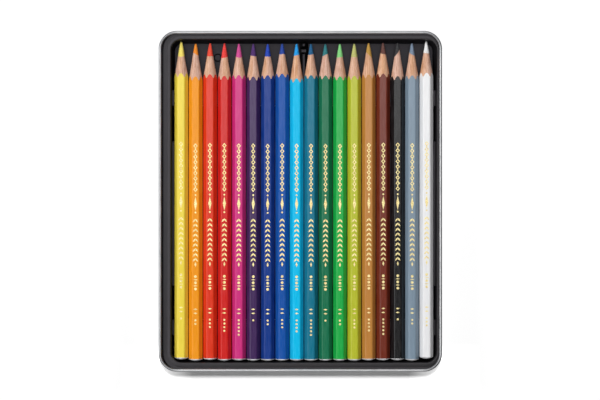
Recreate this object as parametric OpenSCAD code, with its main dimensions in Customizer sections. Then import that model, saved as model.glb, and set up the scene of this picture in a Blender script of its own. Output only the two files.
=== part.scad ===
// A shallow drawn tin with a formed plastic tray that holds one row of sharpened hexagonal
// coloured pencils. All sizes are millimetres. The origin is the middle of the tin's footprint
// on the table, +Z is up and +Y points to the pencils' tips.
// Sizes grow outwards: the pencils set the tray's well, the well sets the tray, the tray sets the tin.

/* [Pencils] */
// Length of a pencil, from its tip to its rounded end
pencil_len = 175; // [120:1:180]
// Width of a pencil across its flats
across_flats = 6.9; // [6.4:0.1:9]
// Rounding of the six long edges
edge_r = 1.1; // [0.4:0.1:1.6]
// Diameter of the coloured core
core_d = 3.2; // [2:0.05:4]
// Angle between a pencil's axis and its sharpened cone
cone_angle = 9.5; // [8:0.5:14]
// Diameter of the worn end of the tip
tip_d = 0.9; // [0.3:0.1:1.2]
// Height of the rounded, dipped end
end_rise = 1.2; // [0.6:0.1:2]
// Thickness of the dip that closes the core's end
dip_t = 0.4; // [0.2:0.1:1]
// Glue line round the core
glue_gap = 0.02; // [0.01:0.01:0.05]
// Space between one pencil and the next
pencil_gap = 0.33; // [0.2:0.01:2]

/* [Tray] */
// Thickness of the formed plastic sheet
tray_t = 0.5; // [0.3:0.05:0.8]
// Slope of the well's walls from upright, in degrees
wall_draft = 12.5; // [5:0.5:15]
// Corner radius of the well at its rim
well_r = 6; // [5:0.5:9]
// Space from the outer pencils to the well's side walls, at the pencils' axes
side_room = 1.1; // [1:0.05:6]
// Space from the tips to the well's end wall, at the pencils' axes
tip_room = 1.4; // [1.35:0.05:10]
// Space from the rounded ends to the well's end wall, at the pencils' axes
end_room = 0.6; // [0.6:0.05:6]
// Width of the flange on the first pencil's side
flange_left = 3.85; // [0.8:0.05:12]
// Width of the flange on the last pencil's side
flange_right = 1.95; // [1.8:0.05:12]
// Width of the flange at each end
flange_end = 3.7; // [1.8:0.05:12]
// Steepest slope of the hollow ramp from the flange up to the crest round the well, in degrees
crest_slope = 25; // [10:1:35]
// Rounding of the crest
crest_r = 0.6; // [0.55:0.05:0.8]
// Width of the crest with the ramp that runs down to the flange
crest_w = 1.7; // [1.4:0.1:1.7]
// Depth of the flange's turned-down edge
skirt_h = 5; // [1:0.1:7]
// Space between the skirt's trimmed foot and the tin's wall
trim_gap = 0.2; // [0.1:0.05:0.5]
// Height of the flange above the pencils
flange_above = 0.6; // [0.2:0.1:3]
// Space under the pencils, above the well's floor
finger_depth = 1.9; // [1.6:0.1:6]
// Running space between a pencil and its groove
groove_gap = 0.05; // [0.02:0.01:0.2]
// Height of the ridges between the grooves above the grooves' floor
groove_h = 2.6; // [1:0.1:3]
// Height of the end cheeks above the grooves' floor
cheek_h = 3.6; // [3:0.1:6.4]
// Length of the two narrow saddles along the pencils
saddle_len = 8.4; // [5:0.1:12]
// From the pencils' tips back to the narrow saddle near them
tip_setback = 25.9; // [24:0.1:40]
// From the pencils' rounded ends to the narrow saddle near them
end_setback = 14.1; // [8:0.1:20]
// Length of the open recess between the saddle near the tips and the wide middle saddle
tip_recess = 19.8; // [15:0.1:25]
// Length of the open recess between the wide middle saddle and the one near the ends
end_recess = 18.8; // [15:0.1:25]
// Width of the centre ridge at the well's floor
ridge_base_w = 5.2; // [3:0.1:5.4]
// Width of the centre ridge's flat top
ridge_top_w = 1.1; // [0.6:0.05:1.1]
// Height of the centre ridge above the well's floor
ridge_h = 4.1; // [3:0.1:4.4]
// Slope of the ridge's end and of both ends of its bar and pip, in degrees
ridge_end_slope = 70; // [60:1:80]
// From the pencils' tips back to the end of the ridge's long top
ridge_setback = 5.8; // [5:0.1:12]
// Width of the bar's top, across the ridge
bar_w = 2.4; // [1.2:0.1:2.6]
// Length of the bar's top, along the ridge
bar_len = 1.4; // [0.6:0.1:2]
// From the pencils' tips back to the middle of the bar
bar_setback = 4; // [3.5:0.1:6]
// Length of the pip's top, along the ridge
pip_len = 1.2; // [0.6:0.1:2]
// From the pencils' tips back to the middle of the pip
pip_setback = 0.7; // [0.4:0.1:1.5]
// Diameter of the moulder's ring on the well's floor
mark_d = 4; // [2:0.1:6]
// Width of the moulder's ring at its foot
mark_band = 0.7; // [0.3:0.1:0.9]
// Height of the moulder's ring
mark_h = 0.4; // [0.2:0.1:0.6]
// From the pencils' tips back to the middle of the moulder's ring
mark_setback = 7.5; // [4:0.5:16]

/* [Tin] */
// Thickness of the tinplate
sheet_t = 0.3; // [0.2:0.05:0.5]
// Outside diameter of the rolled rim
curl_d = 1.6; // [1.4:0.1:2.4]
// Outside corner radius of the tin
tin_corner_r = 10; // [8:0.5:14]
// Rounding where the walls meet the bottom
bottom_r = 1.6; // [0.8:0.1:3]
// Width of the flat ring that the tin stands on
foot_w = 4; // [2:0.5:5]
// Height that the bottom panel is raised above the table
panel_rise = 0.5; // [0.3:0.1:1.2]
// Width of the step from the standing ring up to the panel
panel_step = 0.8; // [0.5:0.1:1.4]
// Space from the rolled rim to the flange on the first pencil's side
gap_left = 1; // [0.2:0.05:2]
// How far the flange reaches under the rolled rim on the last pencil's side and at both ends
tuck = 0.9; // [0.3:0.05:1]
// Space between the flange and the underside of the rolled rim
tuck_gap = 0.1; // [0.05:0.01:0.3]
// Space between the tray's floor and the tin's panel
seat_gap = 0.05; // [0.02:0.01:0.2]

/* [Hidden] */
$fn = 48;
// Each pencil: its name, its lacquer's colour and how far it has slipped towards the tip end.
PENCILS = [
  ["yellow",     [0.93, 0.75, 0.10],  0.9],
  ["orange",     [0.95, 0.50, 0.02], -0.1],
  ["vermilion",  [0.85, 0.12, 0.04],  0.2],
  ["red",        [0.76, 0.03, 0.04],  0.1],
  ["magenta",    [0.74, 0.07, 0.38], -0.1],
  ["violet",     [0.20, 0.12, 0.28], -0.1],
  ["navy",       [0.02, 0.12, 0.40], -0.3],
  ["blue",       [0.02, 0.20, 0.58],  0.0],
  ["sky_blue",   [0.00, 0.60, 0.83], -0.2],
  ["petrol",     [0.00, 0.34, 0.44], -0.2],
  ["pine",       [0.00, 0.32, 0.18], -0.3],
  ["green",      [0.00, 0.58, 0.20], -0.3],
  ["lime",       [0.62, 0.66, 0.05], -0.1],
  ["ochre",      [0.70, 0.40, 0.14],  0.3],
  ["brown",      [0.34, 0.09, 0.05],  0.4],
  ["black",      [0.05, 0.05, 0.06],  0.4],
  ["grey",       [0.38, 0.50, 0.57],  0.1],
  ["white",      [0.92, 0.92, 0.93],  1.1],
];

tinplate = [0.80, 0.81, 0.82];
tray_black = [0.09, 0.09, 0.10];
eps = 0.01;       // overlap of shapes that are joined
clear = 20;       // reach of a cutter that has to leave the part

// One pencil
count = len(PENCILS);
flat_r = across_flats / 2;
edge_centre = (flat_r - edge_r) / cos(30);      // from the axis to the middle of an edge's rounding
corner_r = edge_centre + edge_r;                // from the axis to the outside of an edge
pitch = 2 * corner_r + pencil_gap;
end_sphere_r = (corner_r * corner_r + end_rise * end_rise) / (2 * end_rise);

// Heights, from the table up
panel_top = panel_rise + sheet_t;
floor_under = panel_top + seat_gap;
floor_top = floor_under + tray_t;
groove_floor = floor_top + finger_depth;
axis_z = groove_floor + groove_gap + flat_r;
flange_top = axis_z + flat_r + flange_above;
ramp_run = crest_w - crest_r * (1 + sin(crest_slope));
ramp_r = ramp_run / sin(crest_slope);
crest_top = flange_top + (crest_r + ramp_r) * (1 - cos(crest_slope));
tin_h = flange_top + tuck_gap + curl_d;

// The well, at its rim
rim_z = crest_top - crest_r;                    // where the walls leave the crest
wall_t = tray_t / cos(wall_draft);              // the wall's thickness, measured level
well_w = (count - 1) * pitch + 2 * (corner_r + side_room + inset(axis_z));
well_l = tip_room + pencil_len + end_room + 2 * inset(axis_z);
well_x = (gap_left + flange_left + tuck - flange_right) / 2;
tips_y = well_l / 2 - inset(axis_z) - tip_room;
ends_y = tips_y - pencil_len;

// The saddles along the pencils: where each starts and how long it is
SADDLES = [
  [ends_y + end_setback, saddle_len],
  [ends_y + end_setback + saddle_len + end_recess,
   pencil_len - end_setback - tip_setback - 2 * saddle_len - end_recess - tip_recess],
  [tips_y - tip_setback - saddle_len, saddle_len],
];

// The tray and the tin, seen from above
tray_w = well_w + flange_left + flange_right;
tray_l = well_l + 2 * flange_end;
tray_x = well_x - (flange_left - flange_right) / 2;
tin_w = tray_w + gap_left - tuck + 2 * curl_d;
tin_l = tray_l - 2 * tuck + 2 * curl_d;
tray_corner_r = tin_corner_r - curl_d + tuck;

// How far the well's wall has come in at height z
function inset(z) = (rim_z - z) * tan(wall_draft);

// Where pencil i lies
function pencil_x(i) = well_x + (i - (count - 1) / 2) * pitch;
function pencil_y(i) = tips_y + PENCILS[i][2];
ridge_x = (pencil_x(floor(count / 2) - 1) + pencil_x(floor(count / 2))) / 2;

// Points along an arc, from one angle to another
function arc(x, y, r, from, to, steps = 5) =
  [for (k = [0:steps]) let (a = from + (to - from) * k / steps) [x + r * cos(a), y + r * sin(a)]];

// A rectangle with rounded corners, centred
module rounded_rect(w, l, r) {
  square([w - 2 * r, l], center = true);
  square([w, l - 2 * r], center = true);
  for (x = [-1, 1], y = [-1, 1])
    translate([x * (w / 2 - r), y * (l / 2 - r)]) circle(r);
}

// Sweeps a section round a rounded rectangle. The section's X runs outwards from the
// outline and its Y is height.
module sweep_round(w, l, r) {
  for (turn = [0, 180]) rotate(turn) {
    translate([w / 2, l / 2 - r, 0]) rotate([90, 0, 0]) linear_extrude(l - 2 * r) children();
    translate([-(w / 2 - r), l / 2, 0]) rotate([90, 0, 90]) linear_extrude(w - 2 * r) children();
    translate([w / 2 - r, l / 2 - r, 0]) rotate_extrude(angle = 90) translate([r, 0]) children();
    translate([-(w / 2 - r), l / 2 - r, 0]) rotate(90)
      rotate_extrude(angle = 90) translate([r, 0]) children();
  }
}

// Section of the tin: standing ring, bottom edge, wall and rolled rim
module tin_section() {
  curl_r = curl_d / 2;
  foot_in = bottom_r + foot_w;
  polygon([[-bottom_r, 0], [-bottom_r, sheet_t], [-foot_in, sheet_t],
           [-foot_in - panel_step, panel_top], [-foot_in - panel_step - sheet_t, panel_top],
           [-foot_in - panel_step - sheet_t, panel_rise], [-foot_in - panel_step, panel_rise],
           [-foot_in, 0]]);
  translate([-bottom_r, bottom_r]) intersection() {
    difference() {
      circle(bottom_r);
      circle(bottom_r - sheet_t);
    }
    translate([-eps, -bottom_r]) square([bottom_r + eps, bottom_r + eps]);
  }
  translate([-sheet_t, bottom_r - eps]) square([sheet_t, tin_h - curl_r - bottom_r + 2 * eps]);
  translate([-curl_r, tin_h - curl_r]) difference() {
    circle(curl_r);
    circle(curl_r - sheet_t);
    polygon([[0, 0], [curl_r, 0], [curl_r, -curl_r], [curl_r / 2, -curl_r]]);
  }
}

module tin_base() {
  panel_in = 2 * (bottom_r + foot_w + panel_step);
  color(tinplate) {
    sweep_round(tin_w, tin_l, tin_corner_r) tin_section();
    translate([0, 0, panel_rise]) linear_extrude(sheet_t)
      rounded_rect(tin_w - panel_in, tin_l - panel_in, tin_corner_r - panel_in / 2);
  }
}

// Section of the tray round the well: hollow ramp, rounded crest and sloping wall
module well_section() {
  polygon(concat(
    [[wall_t - inset(floor_under), floor_under], [wall_t, flange_top - tray_t],
     [crest_w, flange_top - tray_t]],
    arc(crest_w, flange_top + ramp_r, ramp_r, 270, 270 - crest_slope, 3),
    arc(crest_r, rim_z, crest_r, 90 - crest_slope, 180, 6),
    [[-inset(floor_under), floor_under]]));
}

// The room one pencil needs in a saddle: its lower half, open above
module groove_section() {
  half = (flat_r + groove_gap) / cos(30);
  translate([0, axis_z]) {
    circle(half, $fn = 6);
    translate([-half, 0]) square([2 * half, clear]);
  }
}

// Section of a saddle, from one wall of the well to the other
module saddle_section() {
  cheek_top = groove_floor + cheek_h;
  low = well_w / 2 - inset(floor_under) + wall_t / 2;
  high = well_w / 2 - inset(cheek_top) + wall_t / 2;
  cheek_in = (count - 1) / 2 * pitch;
  difference() {
    translate([well_x, 0]) {
      polygon([[-low, floor_under], [-high, cheek_top], [-cheek_in, cheek_top],
               [-cheek_in, groove_floor + groove_h], [cheek_in, groove_floor + groove_h],
               [cheek_in, cheek_top], [high, cheek_top], [low, floor_under]]);
    }
    for (i = [0:count - 1]) translate([pencil_x(i), 0]) groove_section();
  }
}

module saddle(start, len) {
  translate([0, start + len, 0]) rotate([90, 0, 0]) linear_extrude(len) saddle_section();
}

// The hollow under a saddle, open below
module saddle_hollow(start, len) {
  w = well_w - 2 * inset(floor_under) - 2 * tray_t;
  translate([well_x - w / 2, start + tray_t, 0])
    cube([w, len - 2 * tray_t, groove_floor - tray_t]);
}

// A stretch of the centre ridge: a flat top from y1 back to y2, w wide, on flanks that spread
// to the ridge's base, and sloping ends that stop in the well's end walls
module ridge_stretch(y1, y2, w) {
  reach = well_l / 2 - inset(floor_top) + wall_t / 2;
  run = ridge_h / tan(ridge_end_slope);
  low = floor_top - eps;
  top = floor_top + ridge_h;
  translate([ridge_x, 0, 0]) intersection() {
    translate([0, reach, 0]) rotate([90, 0, 0]) linear_extrude(2 * reach)
      polygon([[-ridge_base_w / 2, low], [-w / 2, top], [w / 2, top], [ridge_base_w / 2, low]]);
    translate([-ridge_base_w, 0, 0]) rotate([90, 0, 90]) linear_extrude(2 * ridge_base_w)
      intersection() {
        polygon([[y2 - run, low], [y2, top], [y1, top], [y1 + run, low]]);
        translate([-reach, 0]) square([2 * reach, tin_h]);
      }
  }
}

// The ridge between the two middle pencils, with its bar and its pip near the tips
module centre_ridge() {
  bar_y = tips_y - bar_setback;
  pip_y = tips_y - pip_setback;
  ridge_stretch(tips_y - ridge_setback, -well_l, ridge_top_w);
  ridge_stretch(bar_y + bar_len / 2, bar_y - bar_len / 2, bar_w);
  ridge_stretch(pip_y + pip_len / 2, pip_y - pip_len / 2, ridge_top_w);
}

// The moulder's plain ring on the well's floor, between the third and fourth tips
module mould_mark() {
  translate([(pencil_x(2) + pencil_x(3)) / 2, tips_y - mark_setback, floor_top])
    rotate_extrude() translate([mark_d / 2, 0])
      polygon([[-mark_band / 2, -eps], [0, mark_h], [mark_band / 2, -eps]]);
}

// The skirt's trimmed foot, which runs out to the tin's wall and keeps the tray in its place
module trimmed_foot() {
  wall_in = sheet_t + trim_gap;
  translate([0, 0, flange_top - skirt_h]) linear_extrude(tray_t) difference() {
    rounded_rect(tin_w - 2 * wall_in, tin_l - 2 * wall_in, tin_corner_r - wall_in);
    translate([tray_x, 0]) rounded_rect(tray_w - tray_t, tray_l - tray_t, tray_corner_r - tray_t / 2);
  }
}

module pencil_tray() {
  floor_w = well_w - 2 * inset(floor_under) + wall_t;
  floor_l = well_l - 2 * inset(floor_under) + wall_t;
  color(tray_black) difference() {
    union() {
      translate([well_x, 0, 0]) sweep_round(well_w, well_l, well_r) well_section();
      translate([0, 0, flange_top - tray_t]) linear_extrude(tray_t) difference() {
        translate([tray_x, 0]) rounded_rect(tray_w, tray_l, tray_corner_r);
        translate([well_x, 0])
          rounded_rect(well_w + 2 * crest_r, well_l + 2 * crest_r, well_r + crest_r);
      }
      translate([tray_x, 0, 0]) sweep_round(tray_w, tray_l, tray_corner_r)
        translate([-tray_t, flange_top - skirt_h]) square([tray_t, skirt_h]);
      trimmed_foot();
      translate([well_x, 0, floor_under]) linear_extrude(tray_t)
        rounded_rect(floor_w, floor_l, well_r - inset(floor_under) + wall_t / 2);
      for (s = SADDLES) saddle(s[0], s[1]);
      centre_ridge();
      mould_mark();
    }
    for (s = SADDLES) saddle_hollow(s[0], s[1]);
  }
}

// Outline of a pencil: a hexagon, flat side up, with rounded edges
module pencil_outline() {
  polygon([for (a = [0:60:300])
    each arc(edge_centre * cos(a), edge_centre * sin(a), edge_r, a - 30, a + 30, 4)]);
}

// What sharpening and rounding leave of a pencil: a cone at the tip and a domed end.
// The axis is Z, with the tip at the top, at 0. It is wider than the pencil everywhere between.
module turned_form() {
  intersection() {
    translate([0, 0, -pencil_len])
      cylinder(h = pencil_len, r1 = tip_d / 2 + pencil_len * tan(cone_angle), r2 = tip_d / 2);
    translate([0, 0, end_sphere_r - pencil_len]) {
      sphere(end_sphere_r);
      cylinder(h = pencil_len, r = (corner_r + end_sphere_r) / 2);
    }
  }
}

// The wooden casing, lacquered and dipped, with its blind bore for the core
module casing(i) {
  color(PENCILS[i][1]) difference() {
    intersection() {
      translate([0, 0, -pencil_len - eps]) linear_extrude(pencil_len + 2 * eps) pencil_outline();
      turned_form();
    }
    translate([0, 0, dip_t - pencil_len]) cylinder(h = pencil_len, r = core_d / 2 + glue_gap);
  }
}

// The coloured core, sharpened with its casing
module core(i) {
  color(PENCILS[i][1]) intersection() {
    translate([0, 0, dip_t - pencil_len]) cylinder(h = pencil_len - dip_t, r = core_d / 2);
    turned_form();
  }
}

// Lays a pencil in its groove: tip towards +Y, one flat down
module laid(i) {
  translate([pencil_x(i), pencil_y(i), axis_z]) rotate([-90, 0, 0]) children();
}

tin_base();
pencil_tray();
for (i = [0:count - 1]) {
  laid(i) casing(i);
  laid(i) core(i);
}
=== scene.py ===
import math

import bmesh
import bpy
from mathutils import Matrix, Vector, noise


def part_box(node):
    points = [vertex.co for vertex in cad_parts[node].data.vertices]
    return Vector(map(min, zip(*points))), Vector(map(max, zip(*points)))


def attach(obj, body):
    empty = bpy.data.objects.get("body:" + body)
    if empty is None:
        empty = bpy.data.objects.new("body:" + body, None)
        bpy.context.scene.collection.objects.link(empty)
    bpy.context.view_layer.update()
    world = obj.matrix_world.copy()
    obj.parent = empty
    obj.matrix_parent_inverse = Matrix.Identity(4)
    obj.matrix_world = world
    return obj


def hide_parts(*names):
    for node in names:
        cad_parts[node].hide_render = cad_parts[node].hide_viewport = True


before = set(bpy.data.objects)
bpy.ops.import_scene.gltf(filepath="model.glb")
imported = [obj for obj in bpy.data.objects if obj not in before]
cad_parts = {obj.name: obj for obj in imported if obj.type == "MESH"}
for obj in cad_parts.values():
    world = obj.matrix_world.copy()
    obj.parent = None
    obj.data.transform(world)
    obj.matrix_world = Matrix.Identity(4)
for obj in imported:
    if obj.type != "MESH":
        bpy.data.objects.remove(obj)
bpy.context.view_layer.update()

MM = 0.001

# The pencils in order along the row. Each has: name, lacquer, its gloss, pigment, how far back from
# the tip the pigment shows, how much further back it shows on the right side than on the left, how
# much further on the upper side than on both, how far the lacquer's edge is from its usual place,
# and how much the rounded end adds to the CAD casing's length. Lengths are in mm.
PENCILS = [
    ("yellow", (0.81, 0.63, 0.055), 0.40, (0.87, 0.72, 0.13), 7.6, 0.0, 0.7, -0.5, 0.45),
    ("orange", (0.82, 0.285, 0.003), 0.26, (0.85, 0.25, 0.006), 5.8, 1.6, 0.0, 0.25, 0.5),
    ("vermilion", (0.69, 0.030, 0.004), 0.36, (0.76, 0.052, 0.020), 7.2, 0.2, 0.2, -0.65, 0.1),
    ("red", (0.59, 0.008, 0.005), 0.36, (0.80, 0.040, 0.034), 7.8, -0.8, 0.3, 0.15, 0.5),
    ("magenta", (0.58, 0.020, 0.19), 0.40, (0.61, 0.060, 0.275), 7.0, 0.1, 0.8, -0.5, 0.1),
    ("violet", (0.042, 0.011, 0.085), 0.40, (0.066, 0.014, 0.142), 6.7, 0.6, 0.3, 0.3, 0.45),
    ("navy", (0.002, 0.034, 0.23), 0.26, (0.004, 0.045, 0.43), 6.7, 0.1, 0.4, -0.6, 0.45),
    ("blue", (0.002, 0.075, 0.35), 0.23, (0.006, 0.047, 0.32), 5.8, -0.1, 0.2, -1.1, 0.5),
    ("sky_blue", (0.001, 0.48, 0.79), 0.12, (0.003, 0.31, 0.76), 6.3, -0.7, 0.0, 1.25, 0.5),
    ("petrol", (0.002, 0.16, 0.25), 0.24, (0.001, 0.095, 0.235), 5.8, -0.3, 0.2, -0.55, 0.45),
    ("pine", (0.003, 0.15, 0.065), 0.30, (0.016, 0.18, 0.20), 6.0, -1.5, 0.1, -0.45, 0.4),
    ("green", (0.004, 0.38, 0.055), 0.38, (0.22, 0.66, 0.21), 7.1, -0.6, 0.3, 0.05, 0.4),
    ("lime", (0.45, 0.48, 0.020), 0.40, (0.49, 0.50, 0.15), 7.3, 0.1, 0.3, -0.05, 0.5),
    ("ochre", (0.48, 0.20, 0.035), 0.40, (0.50, 0.275, 0.042), 6.8, 3.0, -0.2, -0.4, 0.45),
    ("brown", (0.15, 0.017, 0.004), 0.38, (0.125, 0.045, 0.034), 6.2, 0.7, 0.1, -0.8, 0.5),
    ("black", (0.003, 0.003, 0.004), 0.38, (0.020, 0.020, 0.023), 5.7, -4.1, 0.2, 0.55, 0.45),
    ("grey", (0.19, 0.26, 0.33), 0.40, (0.18, 0.245, 0.34), 6.1, 1.6, 0.2, -0.05, 0.45),
    ("white", (0.80, 0.80, 0.81), 0.40, (0.82, 0.82, 0.82), 6.4, 0.2, 0.2, -0.5, 0.2),
]
TIN_BODY = "tin"

# One pencil, in millimetres
CONE_SLOPE = math.tan(math.radians(9.5))
TIP_R = 0.45
# places behind the tip and the radius there, where the point is rounded off
TIP_ROUND = ((0.02, 0.20), (0.09, 0.34), (0.22, 0.45))
POINT_LENGTH = 0.45
# how much fuller the worn cone is, and over which length
WORN_SWELL = 0.1
WORN_LENGTH = 9
# how far the pigment's edge strays, and how finely
CORE_WANDER = 0.25
WANDER_SCALE = 1.6
# how rough the blade left the pigment, and how much longer its marks are than wide
CORE_WEAR = 0.03
WEAR_STRETCH = 0.7
# how far the pigment goes on under the wood, and how much wider the bore is than the core
CORE_OVERLAP = 0.05
BORE_FIT = 1.004
EDGE_R = 1.1
# how far behind the cone the lacquer breaks off: at least, and where it chips
EDGE_CHIP = 0.05
DEEP_CHIP = 0.16
CHIP_SCALE = 2.1
DIP_RISE = 1.2
DIP_LAP = 0.12
DIP_WALL = 0.4
DOME_RINGS = 7
# no pencil reaches past this place, so that each stays clear of the tray's end wall
WELL_END = -88.27
FACETS = 6
ARC_STEPS = 6
# points along a facet: the outer two hold its shading flat, and the others split it
FACET_POINTS = (0.06, 0.25, 0.5, 0.75, 0.94)
# rings down the wood, as shares of the way from the pigment to the lacquer
WOOD_RINGS = (0, 0.15, 0.4, 0.7, 1)
CORE_RINGS = (1, 0.8, 0.6, 0.4, 0.2, 0)
# rings down the lacquer, the first behind its edge and the others behind the tip
BARREL_START = 1.5
BARREL_RINGS = (60, 100, 140)

# The stamped band, in millimetres: its film, how far above the lacquer it lies, the merging of its
# points, and the hole in a motif of which only the frame is pressed, as a share of the motif
FILM = 0.012
FILM_GAP = 0.001
WELD = 0.001
FRAME_HOLE = 0.5

# The tin, in millimetres
SHEET = 0.3
CURL_R = 0.8
CURL_END = 297
CURL_STEPS = 26
CURL_INNER_STEPS = 20
CURL_NECK = 0.35
BOTTOM_R = 1.6
BOTTOM_STEPS = 8
TIN_CORNER_R = 10
FOOT_W = 4
PANEL_RISE = 0.5
PANEL_STEP = 0.8
CORNER_STEPS = 24
# where shade is painted on the rim round the corners: from and to, along each axis, and how much
# darker
RIM_SHADE_X = (67, 72)
RIM_SHADE_Y = (83, 88)
RIM_SHADE_Z = (10.8, 11.4)
RIM_SHADE_SHARE = 0.8

# The tray, in millimetres
# places across the flange, from its edge to the crest's foot, and how deep it lies there: both are
# shares of its width
DISH = ((0.03, 0.002), (0.40, 0.055), (0.72, 0.098), (0.80, 0.104), (0.87, 0.092), (0.96, 0.035))
# how far the walls' tops stand in from the CAD's: at the pencils' ends, their tips and on the left
STEEPER = {"ends": 0.55, "tips": 0.2, "left": 0.22}
# the walls bend at this height, and the full share is reached at the crest's edge
BEND_Z = 7.0
BEND_FIT = 0.001
CREST_EDGE_Z = 10.43
# the ramp from the flange up to the crest follows in this span, from its foot
RAMP = (0.1, 1.1)
# the ends' share starts and is full here along the tin, and the left wall's here across it
CORNER_Y = (80, 88)
CORNER_X = (60, 68)
# the CAD mesh's points this near to each other are merged, and faces this near to flat are made one
MERGE_REACH = 0.01
FLAT_ANGLE = math.radians(1.0)
# the flange lies as high as the highest flat face that looks up and is larger than this, in square
# metres, and takes in every face with all its corners this near to that height
UPWARD = 0.999
FLANGE_AREA = 0.0001
FLANGE_LEVEL = 0.02
SOFT_EDGE = 0.18
SOFT_EDGE_ANGLE = math.radians(30)
# between these heights the sheet's colour turns from painted shade, down in the well, to painted
# light, on the flange
WELL_SHADE_Z = (9.6, 10.4)

# The view: straight down from above the middle of the tin, in metres, with its sensor in mm
CAMERA_H = 1.2
VIEW_MIDDLE = (-0.0002, 0.0007)
VIEW_W = 0.3306
VIEW_PLANE = 0.0092
VIEW_END = 20
SENSOR = 36

# The paper: its half width in metres and its height in mm
PAPER_HALF = 3
PAPER_Z = -0.05
# its own white near the tin, farther off where its lamp is weaker, and how far off that is in mm
PAPER_GLOW = 0.14
PAPER_GLOW_FAR = 0.20
CLEAR_OF_TIN = (97, 115)
# painted light: a glow lightens the shadow towards the tin's corners, from and to how far aside,
# and ends beyond them;
# how much it lightens, as a share, and where it lies along the tin and how wide it is, in mm
SHADOW_GLOW_FADE = (60, 77)
SHADOW_END = (82, 100)
SHADOW_LIFT = 0.66
SHADOW_Y = 95
SHADOW_L = 16
ROOM_LIGHT = 0.03

# Where a noise's values mostly lie: over its whole range, and in its middle
SPAN = (0.3, 0.7)
MIDDLE = (0.35, 0.65)


# ---------------------------------------------------------------- helpers

def link(obj):
    """Puts an object in the scene."""
    bpy.context.scene.collection.objects.link(obj)
    return obj


def mesh_piece(name, verts, faces, materials, face_material=None, sharp=()):
    """A mesh object at the origin. Places are in metres. sharp holds pairs of vertices."""
    mesh = bpy.data.meshes.new(name)
    mesh.from_pydata(verts, [], faces)
    for material in materials:
        mesh.materials.append(material)
    for polygon in mesh.polygons:
        polygon.use_smooth = True
    if face_material:
        for polygon, index in zip(mesh.polygons, face_material):
            polygon.material_index = index
    if sharp:
        wanted = {tuple(sorted(pair)) for pair in sharp}
        flags = mesh.attributes.new("sharp_edge", "BOOLEAN", "EDGE")
        for edge in mesh.edges:
            flags.data[edge.index].value = tuple(sorted(edge.vertices)) in wanted
    mesh.validate()
    mesh.update()
    return link(bpy.data.objects.new(name, mesh))


class Rings:
    """The points of a shape, and the vertex numbers of each ring of them."""

    def __init__(self):
        self.verts, self.rings = [], []

    def add(self, points):
        """Adds one more ring."""
        start = len(self.verts)
        self.verts.extend(points)
        self.rings.append(list(range(start, len(self.verts))))


def around(ring):
    """The ring's neighbours in pairs, all the way round."""
    return zip(ring, ring[1:] + ring[:1])


def between(low, high):
    """Faces between two rings of equal length, given as lists of vertex numbers."""
    return [(a, b, d, c) for (a, b), (c, d) in zip(around(low), around(high))]


def eased(value, low, high):
    """A share from 0 to 1 that starts and ends gently."""
    share = min(max((value - low) / (high - low), 0), 1)
    return share * share * (3 - 2 * share)


class Tree:
    """A short way to write a material's nodes."""

    def __init__(self, name):
        self.material = bpy.data.materials.new(name)
        self.material.use_nodes = True
        self.nodes = self.material.node_tree.nodes
        self.links = self.material.node_tree.links
        self.shader = self.nodes["Principled BSDF"]

    def add(self, kind, **inputs):
        """A new node with its inputs set."""
        node = self.nodes.new(kind)
        for key, value in inputs.items():
            self.put(node, key, value)
        return node

    def put(self, node, key, value):
        """Sets an input, by its name with _ for spaces, to a value or links it to a socket."""
        socket = node.inputs[key] if isinstance(key, int) else node.inputs[key.replace("_", " ")]
        if isinstance(value, bpy.types.NodeSocket):
            self.links.new(value, socket)
        else:
            socket.default_value = value

    def shade(self, **inputs):
        """Sets the shader's own inputs."""
        for key, value in inputs.items():
            self.put(self.shader, key, value)

    def place(self, scale=(1, 1, 1)):
        """Object coordinates in millimetres, stretched."""
        coords = self.add("ShaderNodeTexCoord")
        mapping = self.add("ShaderNodeMapping", Vector=coords.outputs["Object"],
                           Scale=tuple(1000 * s for s in scale))
        return mapping.outputs["Vector"]

    def noise(self, vector, scale, detail=3.0, roughness=0.5, distortion=0.0):
        """Cloudy values about a half."""
        node = self.add("ShaderNodeTexNoise", Vector=vector, Scale=scale, Detail=detail,
                        Roughness=roughness, Distortion=distortion)
        return node.outputs["Fac"]

    def maths(self, operation, *values):
        """One sum on numbers or sockets."""
        node = self.add("ShaderNodeMath")
        node.operation = operation
        for index, value in enumerate(values):
            self.put(node, index, value)
        return node.outputs[0]

    def spread(self, value, low, high, to_low=0.0, to_high=1.0):
        """Stretches the values from low to high over another range, and stops at its ends."""
        node = self.add("ShaderNodeMapRange", Value=value)
        for key, number in (("From Min", low), ("From Max", high),
                            ("To Min", to_low), ("To Max", to_high)):
            node.inputs[key].default_value = number
        return node.outputs["Result"]

    def blend(self, factor, first, second):
        """A colour between two. Each of the three is a number or colour, or a socket."""
        node = self.add("ShaderNodeMix")
        node.data_type = "RGBA"
        for index, value in ((0, factor), (6, first), (7, second)):
            if isinstance(value, bpy.types.NodeSocket):
                self.links.new(value, node.inputs[index])
            elif index == 0:
                node.inputs[index].default_value = value
            else:
                node.inputs[index].default_value = (*value, 1)
        return node.outputs[2]

    def bump(self, height, strength, depth):
        """A relief. Its depth is in mm."""
        node = self.add("ShaderNodeBump", Height=height, Strength=strength, Distance=depth * MM)
        return node.outputs["Normal"]

    def axes(self):
        """The place's X, Y and Z, in mm."""
        return self.add("ShaderNodeSeparateXYZ", Vector=self.place()).outputs


def darker(colour, share):
    return tuple(c * share for c in colour)


def paler(colour, share):
    """The colour with a share of white in it."""
    return tuple(c + (1 - c) * share for c in colour)


# ---------------------------------------------------------------- finishes

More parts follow.
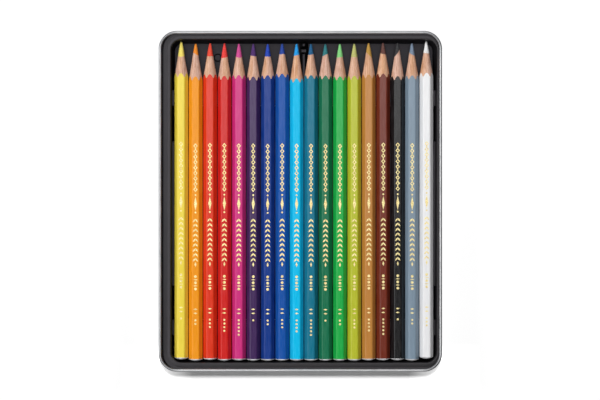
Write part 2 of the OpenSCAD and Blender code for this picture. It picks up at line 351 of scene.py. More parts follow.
def lacquer(name, colour, gloss):
    """Glossy paint in several thin coats: even, with a faint orange peel and fine dust marks."""
    tree = Tree(f"{name}_lacquer")
    along = tree.place((1, 0.12, 1))
    streaks = tree.spread(tree.noise(along, 1.3, 4), *SPAN)
    tree.shade(Base_Color=tree.blend(streaks, darker(colour, 0.93), paler(colour, 0.015)))
    peel = tree.noise(tree.place(), 2.6, 2)
    dust = tree.noise(tree.place((1, 0.3, 1)), 3.5, 3)
    tree.shade(Roughness=tree.spread(dust, *SPAN, 0.16, 0.22), Normal=tree.bump(peel, 0.12, 0.02))
    tree.shade(IOR=1.5, Specular_IOR_Level=gloss)
    return tree.material


def cedar():
    """Sharpened wood: long grain, darker late wood, and a hue that differs along the row."""
    tree = Tree("cedar")
    grain = tree.noise(tree.place((1, 0.03, 0.15)), 3.4, 5, 0.72, 0.1)
    fleck = tree.noise(tree.place((1, 0.05, 0.4)), 9, 2, 0.5)
    board = tree.spread(tree.noise(tree.place((1, 0.02, 0.3)), 0.16, 2), 0.38, 0.62)
    patch = tree.spread(tree.noise(tree.place((1, 0.06, 0.3)), 0.9, 2), 0.38, 0.62)
    pale = tree.blend(patch, tree.blend(board, (0.76, 0.480, 0.325), (0.74, 0.500, 0.405)),
                      tree.blend(board, (0.70, 0.405, 0.240), (0.69, 0.435, 0.340)))
    late = tree.blend(board, (0.44, 0.180, 0.080), (0.42, 0.200, 0.12))
    body = tree.blend(tree.spread(grain, 0.44, 0.64), pale, late)
    flecked = tree.spread(fleck, 0.58, 0.72, 0, 0.5)
    tree.shade(Base_Color=tree.blend(flecked, body, (0.30, 0.14, 0.07)))
    cut = tree.noise(tree.place((0.4, 5, 0.4)), 1.0, 2)
    tree.shade(Roughness=0.72, Specular_IOR_Level=0.25,
               Normal=tree.bump(tree.maths("ADD", grain, cut), 0.4, 0.06))
    return tree.material


def pigment(name, colour):
    """The waxy core: close to its lacquer's hue, paler where the blade has burnished it."""
    tree = Tree(f"{name}_pigment")
    mottled = tree.noise(tree.place(), 2.2, 4, 0.6)
    crumbs = tree.noise(tree.place((1, 0.4, 1)), 7.5, 3, 0.6)
    body = tree.blend(tree.spread(mottled, *MIDDLE), darker(colour, 0.86), paler(colour, 0.05))
    dark = tree.spread(crumbs, 0.62, 0.75, 0, 0.5)
    tree.shade(Base_Color=tree.blend(dark, body, darker(colour, 0.62)))
    tree.shade(Roughness=0.55, Specular_IOR_Level=0.05, Normal=tree.bump(crumbs, 0.3, 0.05))
    return tree.material


def dip_paint():
    """The pale grey dip that seals a pencil's rounded end."""
    tree = Tree("dip_paint")
    clouds = tree.noise(tree.place(), 1.1, 3)
    share = tree.spread(clouds, *MIDDLE)
    tree.shade(Base_Color=tree.blend(share, (0.60, 0.60, 0.62), (0.72, 0.72, 0.73)))
    tree.shade(Roughness=tree.spread(clouds, *SPAN, 0.26, 0.40),
               Normal=tree.bump(tree.noise(tree.place(), 2.4, 2), 0.2, 0.03))
    return tree.material


def gold_foil():
    """Hot-stamped foil: a thin metal film that wrinkles and thins over the lacquer."""
    tree = Tree("gold_foil")
    worn = tree.noise(tree.place(), 1.7, 4, 0.6)
    thin = tree.spread(worn, 0.42, 0.70)
    tree.shade(Base_Color=tree.blend(thin, (0.92, 0.81, 0.40), (0.60, 0.42, 0.15)))
    tree.shade(Metallic=0.7, Roughness=tree.spread(worn, *SPAN, 0.40, 0.52),
               Normal=tree.bump(tree.noise(tree.place(), 3.2, 3), 0.5, 0.06))
    return tree.material


def tinplate():
    """Bright tinplate: rolling lines, a soft bloom and scuffs, with painted shade round the rim's
    corners.
    """
    tree = Tree("tinplate")
    lines = tree.noise(tree.place((0.04, 1.6, 1.6)), 2.2, 3)
    bloom = tree.noise(tree.place(), 0.09, 3)
    scuffs = tree.noise(tree.place((0.5, 1.8, 0.7)), 0.7, 5, 0.7)
    body = tree.blend(tree.spread(bloom, *MIDDLE), (0.44, 0.45, 0.46), (0.52, 0.52, 0.53))
    body = tree.blend(tree.spread(scuffs, 0.62, 0.72, 0, 0.5), body, (0.34, 0.34, 0.35))
    # painted shade: the rim's colour is darkened round the tin's corners
    at = tree.axes()
    aside = tree.spread(tree.maths("ABSOLUTE", at["X"]), *RIM_SHADE_X)
    along = tree.spread(tree.maths("ABSOLUTE", at["Y"]), *RIM_SHADE_Y)
    drawn = tree.maths("MULTIPLY", tree.maths("MULTIPLY", aside, along),
                       tree.spread(at["Z"], *RIM_SHADE_Z, 0, RIM_SHADE_SHARE))
    tree.shade(Base_Color=tree.blend(drawn, body, (0.17, 0.17, 0.18)))
    tree.shade(Metallic=1.0, Roughness=tree.spread(scuffs, 0.35, 0.7, 0.40, 0.55),
               Normal=tree.bump(lines, 0.1, 0.03))
    return tree.material


def tray_plastic():
    """Black formed sheet: satin, with a fine leathery mould grain, painted shade down in the well
    and painted light on the flange.
    """
    tree = Tree("tray_plastic")
    grain = tree.noise(tree.place(), 2.4, 3, 0.55)
    clouds = tree.noise(tree.place(), 0.05, 2)
    share = tree.spread(clouds, *SPAN)
    # painted shade down in the well, and a paler colour for painted light on the flange
    painted_well_shade = tree.blend(share, (0.0020, 0.0018, 0.0024), (0.0034, 0.0031, 0.0040))
    painted_flange_light = tree.blend(share, (0.0205, 0.0200, 0.0205), (0.0250, 0.0243, 0.0250))
    tree.shade(Base_Color=tree.blend(tree.spread(tree.axes()["Z"], *WELL_SHADE_Z), painted_well_shade, painted_flange_light))
    tree.shade(Specular_IOR_Level=0.35, Specular_Tint=(0.96, 0.90, 1.0, 1))
    tree.shade(Roughness=tree.spread(grain, *SPAN, 0.36, 0.46), Normal=tree.bump(grain, 0.25, 0.04))
    return tree.material


# ---------------------------------------------------------------- stage

def stage():
    """The paper the tin lies on. It has a lamp of its own, so that the shadow falls on one side."""
    corners = [(x * PAPER_HALF, y * PAPER_HALF, PAPER_Z * MM)
               for x, y in ((-1, -1), (1, -1), (1, 1), (-1, 1))]
    floor = mesh_piece("floor", corners, [(0, 1, 2, 3)], [paper()])
    return floor


def paper():
    """A white sheet that stays white to the lens, looks grey in the metal and takes a shadow,
    painted lighter near the tin's corners.
    """
    tree = Tree("paper")
    fibres = tree.noise(tree.place(), 0.02, 3)
    rays = tree.add("ShaderNodeLightPath")
    sheet = tree.blend(fibres, (0.80, 0.80, 0.80), (0.82, 0.82, 0.82))
    seen = tree.blend(rays.outputs["Is Glossy Ray"], sheet, (0.28, 0.28, 0.28))
    tree.shade(Base_Color=seen, Roughness=0.9)
    at = tree.axes()
    # painted light: a glow seen by the camera lightens the shadow near the tin's corners
    aside = tree.maths("ABSOLUTE", at["X"])
    near_end = tree.maths("ABSOLUTE", tree.maths("ADD", at["Y"], SHADOW_Y))
    corner = tree.maths("MULTIPLY", tree.spread(aside, *SHADOW_GLOW_FADE, 0, SHADOW_LIFT),
                        tree.spread(aside, *SHADOW_END, 1, 0))
    lift = tree.maths("MULTIPLY", corner, tree.spread(near_end, SHADOW_L / 2, SHADOW_L, 1, 0))
    away = tree.maths("MAXIMUM", aside, tree.maths("ABSOLUTE", at["Y"]))
    own = tree.spread(away, *CLEAR_OF_TIN, PAPER_GLOW, PAPER_GLOW_FAR)
    glow = tree.maths("MULTIPLY", rays.outputs["Is Camera Ray"], tree.maths("ADD", lift, own))
    # the sheet has no underside, so that the tin's base is lit and seen from below
    above = tree.maths("SUBTRACT", 1, tree.add("ShaderNodeNewGeometry").outputs["Backfacing"])
    tree.shade(Emission_Color=(1, 1, 1, 1), Emission_Strength=glow, Specular_IOR_Level=0.0,
               Alpha=above)
    return tree.material


def softbox(name, place, aim, size, strength):
    """A white area light whose face has the given strength. Its lengths are in metres."""
    data = bpy.data.lights.new(name, "AREA")
    data.shape = "RECTANGLE"
    data.size, data.size_y = size
    data.energy = strength * math.pi * size[0] * size[1]
    lamp = link(bpy.data.objects.new(name, data))
    lamp.location = place
    lamp.rotation_euler = (Vector(aim) - Vector(place)).to_track_quat("-Z", "Y").to_euler()
    lamp.visible_camera = False
    return lamp


def lit_by(lamp, thing, state):
    """Says whether a lamp lights only this thing (INCLUDE) or all but this thing (EXCLUDE)."""
    group = bpy.data.collections.new(f"{lamp.name}_{state.lower()}")
    group.objects.link(thing)
    group.collection_objects[0].light_linking.link_state = state
    lamp.light_linking.receiver_collection = group


def lights(floor):
    """Boxes round the tin, the brightest above the tips, a lamp for the paper and a dim room."""
    for name, place, aim, size, strength in (
        ("overhead_box", (-0.40, 0.80, 1.15), (-0.40, 0.80, 0), (1.9, 1.6), 2.3),
        ("side_box", (-0.80, -0.50, 1.15), (-0.80, -0.50, 0), (1.1, 1.0), 1.6),
        ("fill_box", (0.15, -0.50, 1.15), (0.15, -0.50, 0), (0.8, 1.0), 0.2),
        ("left_box", (-1.45, 0.10, 1.20), (0, 0, 0), (2.2, 0.9), 1.2),
        ("front_box", (-0.20, -1.45, 1.20), (0, 0, 0), (2.2, 0.8), 2.0),
    ):
        lit_by(softbox(name, place, aim, size, strength), floor, "EXCLUDE")
    under = softbox("under_box", (0, 0, -0.9), (0, 0, 0), (0.9, 0.9), 1.0)
    lit_by(under, floor, "EXCLUDE")
    under.light_linking.blocker_collection = under.light_linking.receiver_collection
    beam = softbox("paper_lamp", (0, 0.88, 3.0), (0, 0, 0), (0.1, 0.5), 665)
    lit_by(beam, floor, "INCLUDE")
    world = bpy.data.worlds.new("studio")
    bpy.context.scene.world = world
    world.use_nodes = True
    nodes = world.node_tree.nodes
    nodes["Background"].inputs["Color"].default_value = (1, 1, 1, 1)
    # white where the camera sees it, dim for everything else
    strength = nodes.new("ShaderNodeMapRange")
    strength.inputs["To Min"].default_value = ROOM_LIGHT
    rays = nodes.new("ShaderNodeLightPath")
    world.node_tree.links.new(rays.outputs["Is Camera Ray"], strength.inputs["Value"])
    world.node_tree.links.new(strength.outputs["Result"], nodes["Background"].inputs["Strength"])


def camera():
    """The camera above the tin, with a lens that takes in VIEW_W at the height of VIEW_PLANE."""
    data = bpy.data.cameras.new("camera")
    data.sensor_width = SENSOR
    data.lens = SENSOR * (CAMERA_H - VIEW_PLANE) / VIEW_W
    data.clip_end = VIEW_END
    eye = link(bpy.data.objects.new("camera", data))
    eye.location = (*VIEW_MIDDLE, CAMERA_H)
    bpy.context.scene.camera = eye


# ---------------------------------------------------------------- pencils

def hexagon_points(flat_r):
    """Points round a pencil's outline, in mm: a flat on top, six rounded edges."""
    edge_centre = (flat_r - EDGE_R) / math.cos(math.radians(30))
    points = []
    for facet in range(FACETS):
        corner = 60 * facet
        cx = edge_centre * math.cos(math.radians(corner))
        cz = edge_centre * math.sin(math.radians(corner))
        for step in range(ARC_STEPS + 1):
            turn = math.radians(corner - 30 + 60 * step / ARC_STEPS)
            points.append((cx + EDGE_R * math.cos(turn), cz + EDGE_R * math.sin(turn)))
        nx = edge_centre * math.cos(math.radians(corner + 60))
        nz = edge_centre * math.sin(math.radians(corner + 60))
        turn = math.radians(corner + 30)
        start = (cx + EDGE_R * math.cos(turn), cz + EDGE_R * math.sin(turn))
        end = (nx + EDGE_R * math.cos(turn), nz + EDGE_R * math.sin(turn))
        for share in FACET_POINTS:
            points.append(tuple(a + (b - a) * share for a, b in zip(start, end)))
    return points


class Pencil:
    """Where a pencil lies, from its CAD nodes. Lengths are in mm, measured back from the tip."""

    def __init__(self, row, name, core_end, slant, crown, edge_shift, foot):
        casing_low, casing_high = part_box(f"{name}_casing")
        _, core_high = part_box(f"{name}_core")
        self.name = name
        self.seed = Vector((row * 7.3, row * 3.1, 2.7))
        self.x = (casing_low[0] + casing_high[0]) / 2
        self.z = (casing_low[2] + casing_high[2]) / 2
        self.tip_y = core_high[1]
        self.length = min((core_high[1] - casing_low[1]) / MM + foot, core_high[1] / MM - WELL_END)
        self.flat_r = (casing_high[2] - casing_low[2]) / 2 / MM
        self.outline = [(math.hypot(x, z), math.atan2(z, x), x, z)
                        for x, z in hexagon_points(self.flat_r)]
        self.core_end, self.slant, self.crown = core_end, slant, crown
        cone_length = (self.flat_r - TIP_R) / CONE_SLOPE
        self.slope = (self.flat_r - TIP_R) / (cone_length + edge_shift)

    def at(self, x, z, back):
        """A place in metres, from the pencil's axis and its tip."""
        return (self.x + x * MM, self.tip_y - back * MM, self.z + z * MM)

    def on_cone(self, turn, back, more=0.0):
        """A place on the sharpened end, or a little above it."""
        r = self.cone_r(back) + more
        return self.at(r * math.cos(turn), r * math.sin(turn), back)

    def cone_r(self, back):
        """The sharpened end's radius: a cone, a little fuller where the point has worn."""
        share = min(back / WORN_LENGTH, 1)
        return TIP_R + back * self.slope + WORN_SWELL * 4 * share * (1 - share)

    def core_back(self, turn):
        """How far back the pigment shows on the cone, in one direction."""
        across, up = math.cos(turn), math.sin(turn)
        wander = noise.noise(Vector((across * WANDER_SCALE, up * WANDER_SCALE, 0)) + self.seed)
        return self.core_end + self.slant / 2 * across + self.crown * up + CORE_WANDER * wander

    def casing(self, *materials):
        """The wood with its lacquer, its sharpened cone, its bore and its dipped end."""
        paint, wood, dip = range(3)
        shape, shades = Rings(), []

        def ring(points, shade):
            shape.add(points)
            shades.append(shade)

        edge = [(rho - TIP_R) / self.slope for rho, _, _, _ in self.outline]
        core = [self.core_back(turn) for _, turn, _, _ in self.outline]
        chips = [noise.noise(Vector((x * CHIP_SCALE, z * CHIP_SCALE, 0)) + self.seed)
                 for _, _, x, z in self.outline]
        # up the bore, out over the cone, down the flats and round the dipped end
        bore = [self.cone_r(back) * BORE_FIT for back in core]
        ring([self.at(r * math.cos(turn), r * math.sin(turn), self.length - DIP_WALL)
              for r, (_, turn, _, _) in zip(bore, self.outline)], wood)
        for share in WOOD_RINGS:
            ring([self.on_cone(turn, start + (end - start) * share)
                  for start, end, (_, turn, _, _) in zip(core, edge, self.outline)], wood)
        sharp = [shape.rings[1], shape.rings[-1]]
        ring([self.at(x, z, back + (EDGE_CHIP + DEEP_CHIP * max(0, chip)))
              for back, chip, (_, _, x, z) in zip(edge, chips, self.outline)], paint)
        dip_start = self.length - DIP_RISE - DIP_LAP
        for back in (max(edge) + BARREL_START, *BARREL_RINGS, dip_start - 1, dip_start):
            ring([self.at(x, z, back) for _, _, x, z in self.outline], paint)
        widest = max(rho for rho, _, _, _ in self.outline)
        dome_r = (widest * widest + DIP_RISE * DIP_RISE) / (2 * DIP_RISE)

        def dome(rho):
            return self.length - (dome_r - math.sqrt(dome_r * dome_r - rho * rho))

        for step in range(DOME_RINGS):
            share = 1 - step / DOME_RINGS
            ring([self.at(x * share, z * share, dome(rho * share))
                  for rho, _, x, z in self.outline], dip)
        sharp.append(shape.rings[-DOME_RINGS])
        faces, finishes = [], []
        for low, high, shade in zip(shape.rings, shape.rings[1:], shades[1:]):
            faces += between(low, high)
            finishes += [shade] * len(low)
        pole = len(shape.verts)
        shape.verts.append(self.at(0, 0, self.length))
        faces += [(one, two, pole) for one, two in around(shape.rings[-1])]
        finishes += [dip] * len(self.outline)
        faces.append(tuple(reversed(shape.rings[0])))
        finishes.append(wood)
        pairs = [pair for ring_line in sharp for pair in around(ring_line)]
        return mesh_piece(f"{self.name}_lacquered_casing", shape.verts, faces, materials,
                          finishes, pairs)

    def pigment_core(self, material):
        """The core: its rod inside the wood, its part of the cone and its rounded point."""
        shape = Rings()
        turns = [turn for _, turn, _, _ in self.outline]
        core = [self.core_back(turn) for turn in turns]
        rod = [self.cone_r(back) for back in core]
        rod_end = [self.length - DIP_WALL] * len(turns)
        for backs in (rod_end, [back + CORE_OVERLAP for back in core]):
            shape.add([self.at(r * math.cos(turn), r * math.sin(turn), back)
                       for r, turn, back in zip(rod, turns, backs)])
        for share in CORE_RINGS:
            points = []
            for turn, end in zip(turns, core):
                back = end * share + POINT_LENGTH * (1 - share)
                place = Vector((math.cos(turn), math.sin(turn), back * WEAR_STRETCH))
                wear = CORE_WEAR * noise.noise(place + self.seed)
                points.append(self.on_cone(turn, back, wear if share < 1 else 0))
            shape.add(points)
        for back, r in reversed(TIP_ROUND):
            shape.add([self.at(r * math.cos(turn), r * math.sin(turn), back) for turn in turns])
        faces = []
        for low, high in zip(shape.rings, shape.rings[1:]):
            faces += between(low, high)
        faces += [tuple(reversed(shape.rings[0])), tuple(shape.rings[-1])]
        return mesh_piece(f"{self.name}_pigment_core", shape.verts, faces, [material],
                          None, list(around(shape.rings[1])))


def outward(piece):
    """Turns a closed mesh's faces outwards."""
    work = bmesh.new()
    work.from_mesh(piece.data)
    bmesh.ops.recalc_face_normals(work, faces=work.faces)
    work.to_mesh(piece.data)
    work.free()
    return piece


def make_pencils():
    """The row of pencils: for each its casing, its core and its stamped band."""
    wood = cedar()
    dip = dip_paint()
    foil = gold_foil()
    stamp = row_tree()
    for row, (name, paint_colour, gloss, pigment_colour, *shape) in enumerate(PENCILS):
        pencil = Pencil(row, name, *shape)
        casing = outward(pencil.casing(lacquer(name, paint_colour, gloss), wood, dip))
        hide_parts(f"{name}_casing")
        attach(casing, f"{name}_pencil")
        core = outward(pencil.pigment_core(pigment(name, pigment_colour)))
        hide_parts(f"{name}_core")
        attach(core, f"{name}_pencil")
        band = stamped_band(pencil, row, foil, stamp)
        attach(band, f"{name}_pencil")


# ---------------------------------------------------------------- stamped ornament

def row_tree():
    """Geometry Nodes: a row of small flat motifs along Y, pressed to a thin film."""
    tree = bpy.data.node_groups.new("stamped_row", "GeometryNodeTree")
    face = tree.interface
    face.new_socket("Geometry", in_out="INPUT", socket_type="NodeSocketGeometry")
    for name, kind, value in (
        ("Count", "NodeSocketInt", 1), ("Start", "NodeSocketFloat", 0.0),
        ("Pitch", "NodeSocketFloat", 1.0), ("Sides", "NodeSocketInt", 4),
        ("Width", "NodeSocketFloat", 1.0), ("Length", "NodeSocketFloat", 1.0),
        ("Turn", "NodeSocketFloat", 0.0), ("Shift", "NodeSocketFloat", 0.0),
        ("Hollow", "NodeSocketBool", False), ("Film", "NodeSocketFloat", 0.02),
        ("Finish", "NodeSocketMaterial", None),
    ):
        socket = face.new_socket(name, in_out="INPUT", socket_type=kind)
        if value is not None:
            socket.default_value = value
    face.new_socket("Geometry", in_out="OUTPUT", socket_type="NodeSocketGeometry")
    nodes, links = tree.nodes, tree.links
    given = nodes.new("NodeGroupInput").outputs
    out = nodes.new("NodeGroupOutput")

    def vector(x=None, y=None, z=None):
        """A vector from up to three sockets, and nought for the others."""
        node = nodes.new("ShaderNodeCombineXYZ")
        for index, socket in enumerate((x, y, z)):
            if socket is not None:
                links.new(socket, node.inputs[index])
        return node.outputs[0]

    line = nodes.new("GeometryNodeMeshLine")
    line.mode = "OFFSET"
    links.new(given["Count"], line.inputs["Count"])
    links.new(vector(given["Shift"], given["Start"]), line.inputs["Start Location"])
    links.new(vector(None, given["Pitch"]), line.inputs["Offset"])
    motif = nodes.new("GeometryNodeMeshCircle")
    motif.fill_type = "NGON"
    links.new(given["Sides"], motif.inputs["Vertices"])
    motif.inputs["Radius"].default_value = 1 / 2
    rim = nodes.new("GeometryNodeExtrudeMesh")
    rim.inputs["Offset Scale"].default_value = 0
    links.new(motif.outputs["Mesh"], rim.inputs["Mesh"])
    narrow = nodes.new("GeometryNodeScaleElements")
    narrow.inputs["Scale"].default_value = FRAME_HOLE
    links.new(rim.outputs["Mesh"], narrow.inputs["Geometry"])
    links.new(rim.outputs["Top"], narrow.inputs["Selection"])
    frame_only = nodes.new("GeometryNodeDeleteGeometry")
    frame_only.domain = "FACE"
    links.new(narrow.outputs["Geometry"], frame_only.inputs["Geometry"])
    links.new(rim.outputs["Top"], frame_only.inputs["Selection"])
    choice = nodes.new("GeometryNodeSwitch")
    choice.input_type = "GEOMETRY"
    links.new(given["Hollow"], choice.inputs["Switch"])
    links.new(motif.outputs["Mesh"], choice.inputs["False"])
    links.new(frame_only.outputs["Geometry"], choice.inputs["True"])
    size = nodes.new("GeometryNodeTransform")
    links.new(choice.outputs["Output"], size.inputs["Geometry"])
    links.new(vector(given["Width"], given["Length"], None), size.inputs["Scale"])
    turn = nodes.new("GeometryNodeTransform")
    links.new(size.outputs["Geometry"], turn.inputs["Geometry"])
    links.new(vector(None, None, given["Turn"]), turn.inputs["Rotation"])
    place = nodes.new("GeometryNodeInstanceOnPoints")
    links.new(line.outputs["Mesh"], place.inputs["Points"])
    links.new(turn.outputs["Geometry"], place.inputs["Instance"])
    real = nodes.new("GeometryNodeRealizeInstances")
    links.new(place.outputs["Instances"], real.inputs["Geometry"])
    film = nodes.new("GeometryNodeExtrudeMesh")
    film.inputs["Individual"].default_value = False
    links.new(real.outputs["Geometry"], film.inputs["Mesh"])
    links.new(given["Film"], film.inputs["Offset Scale"])
    under = nodes.new("GeometryNodeFlipFaces")
    links.new(real.outputs["Geometry"], under.inputs["Mesh"])
    both = nodes.new("GeometryNodeJoinGeometry")
    links.new(film.outputs["Mesh"], both.inputs[0])
    links.new(under.outputs["Mesh"], both.inputs[0])
    weld = nodes.new("GeometryNodeMergeByDistance")
    weld.inputs["Distance"].default_value = WELD * MM
    links.new(both.outputs[0], weld.inputs["Geometry"])
    finish = nodes.new("GeometryNodeSetMaterial")
    links.new(weld.outputs["Geometry"], finish.inputs["Geometry"])
    links.new(given["Finish"], finish.inputs["Material"])
    links.new(finish.outputs["Geometry"], out.inputs[0])
    return tree


def row_mesh(tree, settings):
    """Runs the row tree once and gives its mesh. Sizes in settings are metres and radians."""
    holder = link(bpy.data.objects.new("row", bpy.data.meshes.new("row")))
    modifier = holder.modifiers.new("row", "NODES")
    modifier.node_group = tree
    for item in tree.interface.items_tree:
        if item.in_out == "INPUT" and item.name in settings:
            modifier[item.identifier] = settings[item.name]
    ready = holder.evaluated_get(bpy.context.evaluated_depsgraph_get())
    mesh = bpy.data.meshes.new_from_object(ready)
    bpy.data.objects.remove(holder)
    return mesh


# Each row of the ornament: how many motifs, the first one's place behind the tip, pitch, sides,
# width, length, turn in degrees, shift sideways, and whether only its frame is pressed. Lengths are
# in mm.
BAND = [
    (9, 56.5, 3.0, 4, 2.3, 2.8, 0, 0.0, True),
    (8, 58.0, 3.0, 4, 0.9, 0.9, 0, 0.0, False),
    (2, 83.6, 9.6, 12, 1.0, 1.0, 0, 0.0, False),
    (1, 88.4, 1.0, 4, 1.7, 7.6, 0, 0.0, False),
    (9, 97.6, 2.7, 4, 0.95, 2.7, 38, 0.62, False),
    (9, 97.6, 2.7, 4, 0.95, 2.7, -38, -0.62, False),
    (1, 121.8, 1.0, 4, 1.1, 2.6, 0, 0.0, False),
    (3, 128.5, 3.4, 16, 1.5, 1.5, 0, 0.0, False),
    (2, 130.2, 3.4, 4, 2.4, 0.7, 0, 0.0, False),
    (2, 146.5, 2.2, 4, 2.2, 0.95, 0, 0.0, False),
]
# The last row is a tally, which has one dot more on each pencil and starts again after five
TALLY = (152.5, 2.0, 12, 1.15, 1.15, 0, 0.0, False)
TALLY_MOST = 5


def stamped_band(pencil, row, foil, stamp):
    """The gold ornament on the upper flat: lozenges, a spindle, a wheat ear, beads and a tally."""
    name = f"{pencil.name}_stamped_band"
    work = bmesh.new()
    tally = (1 + row % TALLY_MOST, *TALLY)
    for count, start, pitch, sides, width, length, turn, shift, hollow in BAND + [tally]:
        settings = {
            "Count": count, "Start": -start * MM, "Pitch": -pitch * MM, "Sides": sides,
            "Width": width * MM, "Length": length * MM, "Turn": math.radians(turn),
            "Shift": shift * MM, "Hollow": hollow, "Film": FILM * MM, "Finish": foil,
        }
        mesh = row_mesh(stamp, settings)
        work.from_mesh(mesh)
        bpy.data.meshes.remove(mesh)
    top = pencil.z + pencil.flat_r * MM
    for vert in work.verts:
        vert.co += Vector((pencil.x, pencil.tip_y, top + FILM_GAP * MM))
    mesh = bpy.data.meshes.new(name)
    work.to_mesh(mesh)
    work.free()
    mesh.materials.clear()
    mesh.materials.append(foil)
    return outward(link(bpy.data.objects.new(name, mesh)))


# ---------------------------------------------------------------- tin

def rounded_path(w, l, r):
    """Stations round a rounded rectangle: (x, y) and the outward direction, in mm."""
    stations = []
    for quarter, (sx, sy) in enumerate(((1, 1), (-1, 1), (-1, -1), (1, -1))):
        for step in range(CORNER_STEPS + 1):
            turn = math.radians(90 * quarter + 90 * step / CORNER_STEPS)
            out = (math.cos(turn), math.sin(turn))
            stations.append(((sx * (w / 2 - r), sy * (l / 2 - r)), out))
    return stations


def arc(cx, cz, r, start, end, steps):
    """Points along part of a circle, with its ends given in degrees."""
    turns = [math.radians(start + (end - start) * k / steps) for k in range(steps + 1)]
    return [(cx + r * math.cos(turn), cz + r * math.sin(turn)) for turn in turns]


def tin_section(height):
    """Half section of the tin as one closed line from the panel's underside round to its top."""
    curl_z = height - CURL_R
    foot_in = BOTTOM_R + FOOT_W
    inner_end = -foot_in - PANEL_STEP
    line = [(inner_end, PANEL_RISE), (-foot_in, 0.0)]
    line += arc(-BOTTOM_R, BOTTOM_R, BOTTOM_R, -90, 0, BOTTOM_STEPS)
    line += arc(-CURL_R, curl_z, CURL_R, 0, CURL_END, CURL_STEPS)
    line += arc(-CURL_R, curl_z, CURL_R - SHEET, CURL_END, 0, CURL_INNER_STEPS)
    line += [(-SHEET, curl_z - CURL_NECK)]
    line += arc(-BOTTOM_R, BOTTOM_R, BOTTOM_R - SHEET, 0, -90, BOTTOM_STEPS)
    line += [(-foot_in, SHEET), (inner_end, PANEL_RISE + SHEET)]
    return line


def make_tin():
    """The drawn tin: its section carried round the corners, with the base closed on both sides."""
    low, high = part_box("tin_base")
    w, l, h = ((high[k] - low[k]) / MM for k in range(3))
    section = tin_section(h)
    shape = Rings()
    for (cx, cy), (ox, oy) in rounded_path(w, l, TIN_CORNER_R):
        points = []
        for out, z in section:
            reach = TIN_CORNER_R + out
            points.append(((cx + ox * reach) * MM, (cy + oy * reach) * MM, z * MM))
        shape.add(points)
    faces = []
    for one, two in around(shape.rings):
        for k in range(len(section) - 1):
            faces.append((one[k], two[k], two[k + 1], one[k + 1]))
    faces.append(tuple(ring[0] for ring in reversed(shape.rings)))
    faces.append(tuple(ring[-1] for ring in shape.rings))
    tin = mesh_piece("drawn_tin", shape.verts, faces, [tinplate()])
    outward(tin)
    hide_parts("tin_base")
    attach(tin, TIN_BODY)


# ---------------------------------------------------------------- tray

def nearest_on_loop(point, loop):
    """The place on a closed line that is nearest to a point, seen from above."""
    best = None
    for start, end in around(loop):
        run = (end - start).xy
        if not run.length_squared:
            continue
        share = min(max((point.xy - start.xy).dot(run) / run.length_squared, 0), 1)
        place = start.lerp(end, share)
        gap = (place.xy - point.xy).length
        if best is None or gap < best[0]:
            best = (gap, place)
    return best[1]


def ordered_loops(edges):
    """Sorts edges into closed loops of vertices."""
    loops, left = [], dict.fromkeys(edges)
    while left:
        edge = next(iter(left))
        del left[edge]
        loop = [edge.verts[0], edge.verts[1]]
        while loop[-1] is not loop[0]:
            edge = next(e for e in loop[-1].link_edges if e in left)
            del left[edge]
            loop.append(edge.other_vert(loop[-1]))
        loops.append(loop[:-1])
    return loops


def flange_and_rims(work):
    """The flange's faces, and the loops around them from the inner to the outer one."""
    level = max(face.calc_center_median().z for face in work.faces
                if face.normal.z > UPWARD and face.calc_area() > FLANGE_AREA)
    flange = [face for face in work.faces
              if all(abs(vert.co.z - level) < FLANGE_LEVEL * MM for vert in face.verts)]
    border = [edge for edge in work.edges if sum(face in flange for face in edge.link_faces) == 1]
    return flange, sorted(ordered_loops(border), key=lambda loop: max(vert.co.x for vert in loop))


def dish_flange(work):
    """Hollows the flange a little, as the formed sheet pulls in between its edge and the crest.

    Gives the loop of vertices at the foot of the crest's ramp.
    """
    flange, (inner, outer) = flange_and_rims(work)
    bmesh.ops.delete(work, geom=flange, context="FACES_ONLY")
    loose = [edge for edge in work.edges if not edge.link_faces]
    bmesh.ops.delete(work, geom=loose, context="EDGES_FACES")
    across = [nearest_on_loop(vert.co, [v.co for v in inner]) for vert in outer]
    last = outer
    for share, fall in DISH:
        ring = []
        for vert, target in zip(outer, across):
            place = vert.co.lerp(target, share)
            place.z -= (target - vert.co).length * fall
            ring.append(work.verts.new(place))
        for face in between(last, ring):
            work.faces.new(face)
        last = ring
    edges = [work.edges.get(pair) for loop in (last, inner) for pair in around(loop)]
    bmesh.ops.bridge_loops(work, edges=edges)
    bmesh.ops.recalc_face_normals(work, faces=work.faces)
    return inner


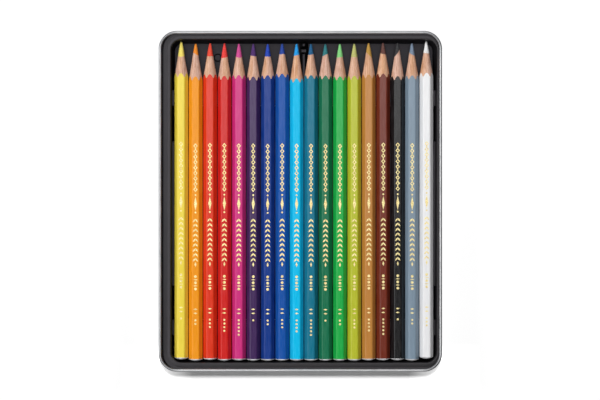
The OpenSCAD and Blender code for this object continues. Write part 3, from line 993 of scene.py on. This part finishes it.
def steepen_walls(work, foot):
    """Stands the upper part of the walls steeper, and draws the crest in with them.

    foot is the loop of vertices at the foot of the crest's ramp, which stays where it is.
    """
    everything = work.verts[:] + work.edges[:] + work.faces[:]
    bend = (0, 0, BEND_Z * MM)
    bmesh.ops.bisect_plane(work, geom=everything, plane_co=bend, plane_no=(0, 0, 1))
    line = [vert.co.copy() for vert in foot]
    middle = sum(line, Vector()) / len(line)
    for vert in work.verts:
        z = vert.co.z / MM
        if z <= BEND_Z + BEND_FIT:
            continue
        edge = nearest_on_loop(vert.co, line)
        inwards = (edge - vert.co).xy
        if inwards.dot((edge - middle).xy) <= 0:
            continue
        share = eased(inwards.length / MM, *RAMP)
        share *= min((z - BEND_Z) / (CREST_EDGE_Z - BEND_Z), 1)
        x, y = vert.co.x / MM, vert.co.y / MM
        end = STEEPER["ends"] if y < 0 else -STEEPER["tips"]
        side = STEEPER["left"] if x < 0 else 0
        vert.co.y += end * eased(abs(y), *CORNER_Y) * share * MM
        vert.co.x += side * eased(abs(x), *CORNER_X) * share * MM


def make_tray():
    """The formed tray: the CAD's shape, with its edges softened as a heated sheet's are."""
    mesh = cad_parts["pencil_tray"].data.copy()
    mesh.name = "formed_tray"
    mesh.materials.clear()
    mesh.materials.append(tray_plastic())
    work = bmesh.new()
    work.from_mesh(mesh)
    bmesh.ops.remove_doubles(work, verts=work.verts, dist=MERGE_REACH * MM)
    bmesh.ops.dissolve_limit(work, angle_limit=FLAT_ANGLE, verts=work.verts, edges=work.edges)
    crest_foot = dish_flange(work)
    steepen_walls(work, crest_foot)
    work.to_mesh(mesh)
    work.free()
    for polygon in mesh.polygons:
        polygon.use_smooth = True
        polygon.material_index = 0
    tray = link(bpy.data.objects.new("formed_tray", mesh))
    bevel = tray.modifiers.new("soft_edges", "BEVEL")
    bevel.width = SOFT_EDGE * MM
    bevel.segments = 2
    bevel.limit_method = "ANGLE"
    bevel.angle_limit = SOFT_EDGE_ANGLE
    shading = tray.modifiers.new("flat_faces_stay_flat", "WEIGHTED_NORMAL")
    shading.mode = "FACE_AREA"
    shading.weight = 100
    shading.thresh = 0.01
    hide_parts("pencil_tray")
    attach(tray, TIN_BODY)


# ---------------------------------------------------------------- scene

camera()
lights(stage())
make_tin()
make_tray()
make_pencils()

bpy.context.scene.view_settings.view_transform = "Standard"
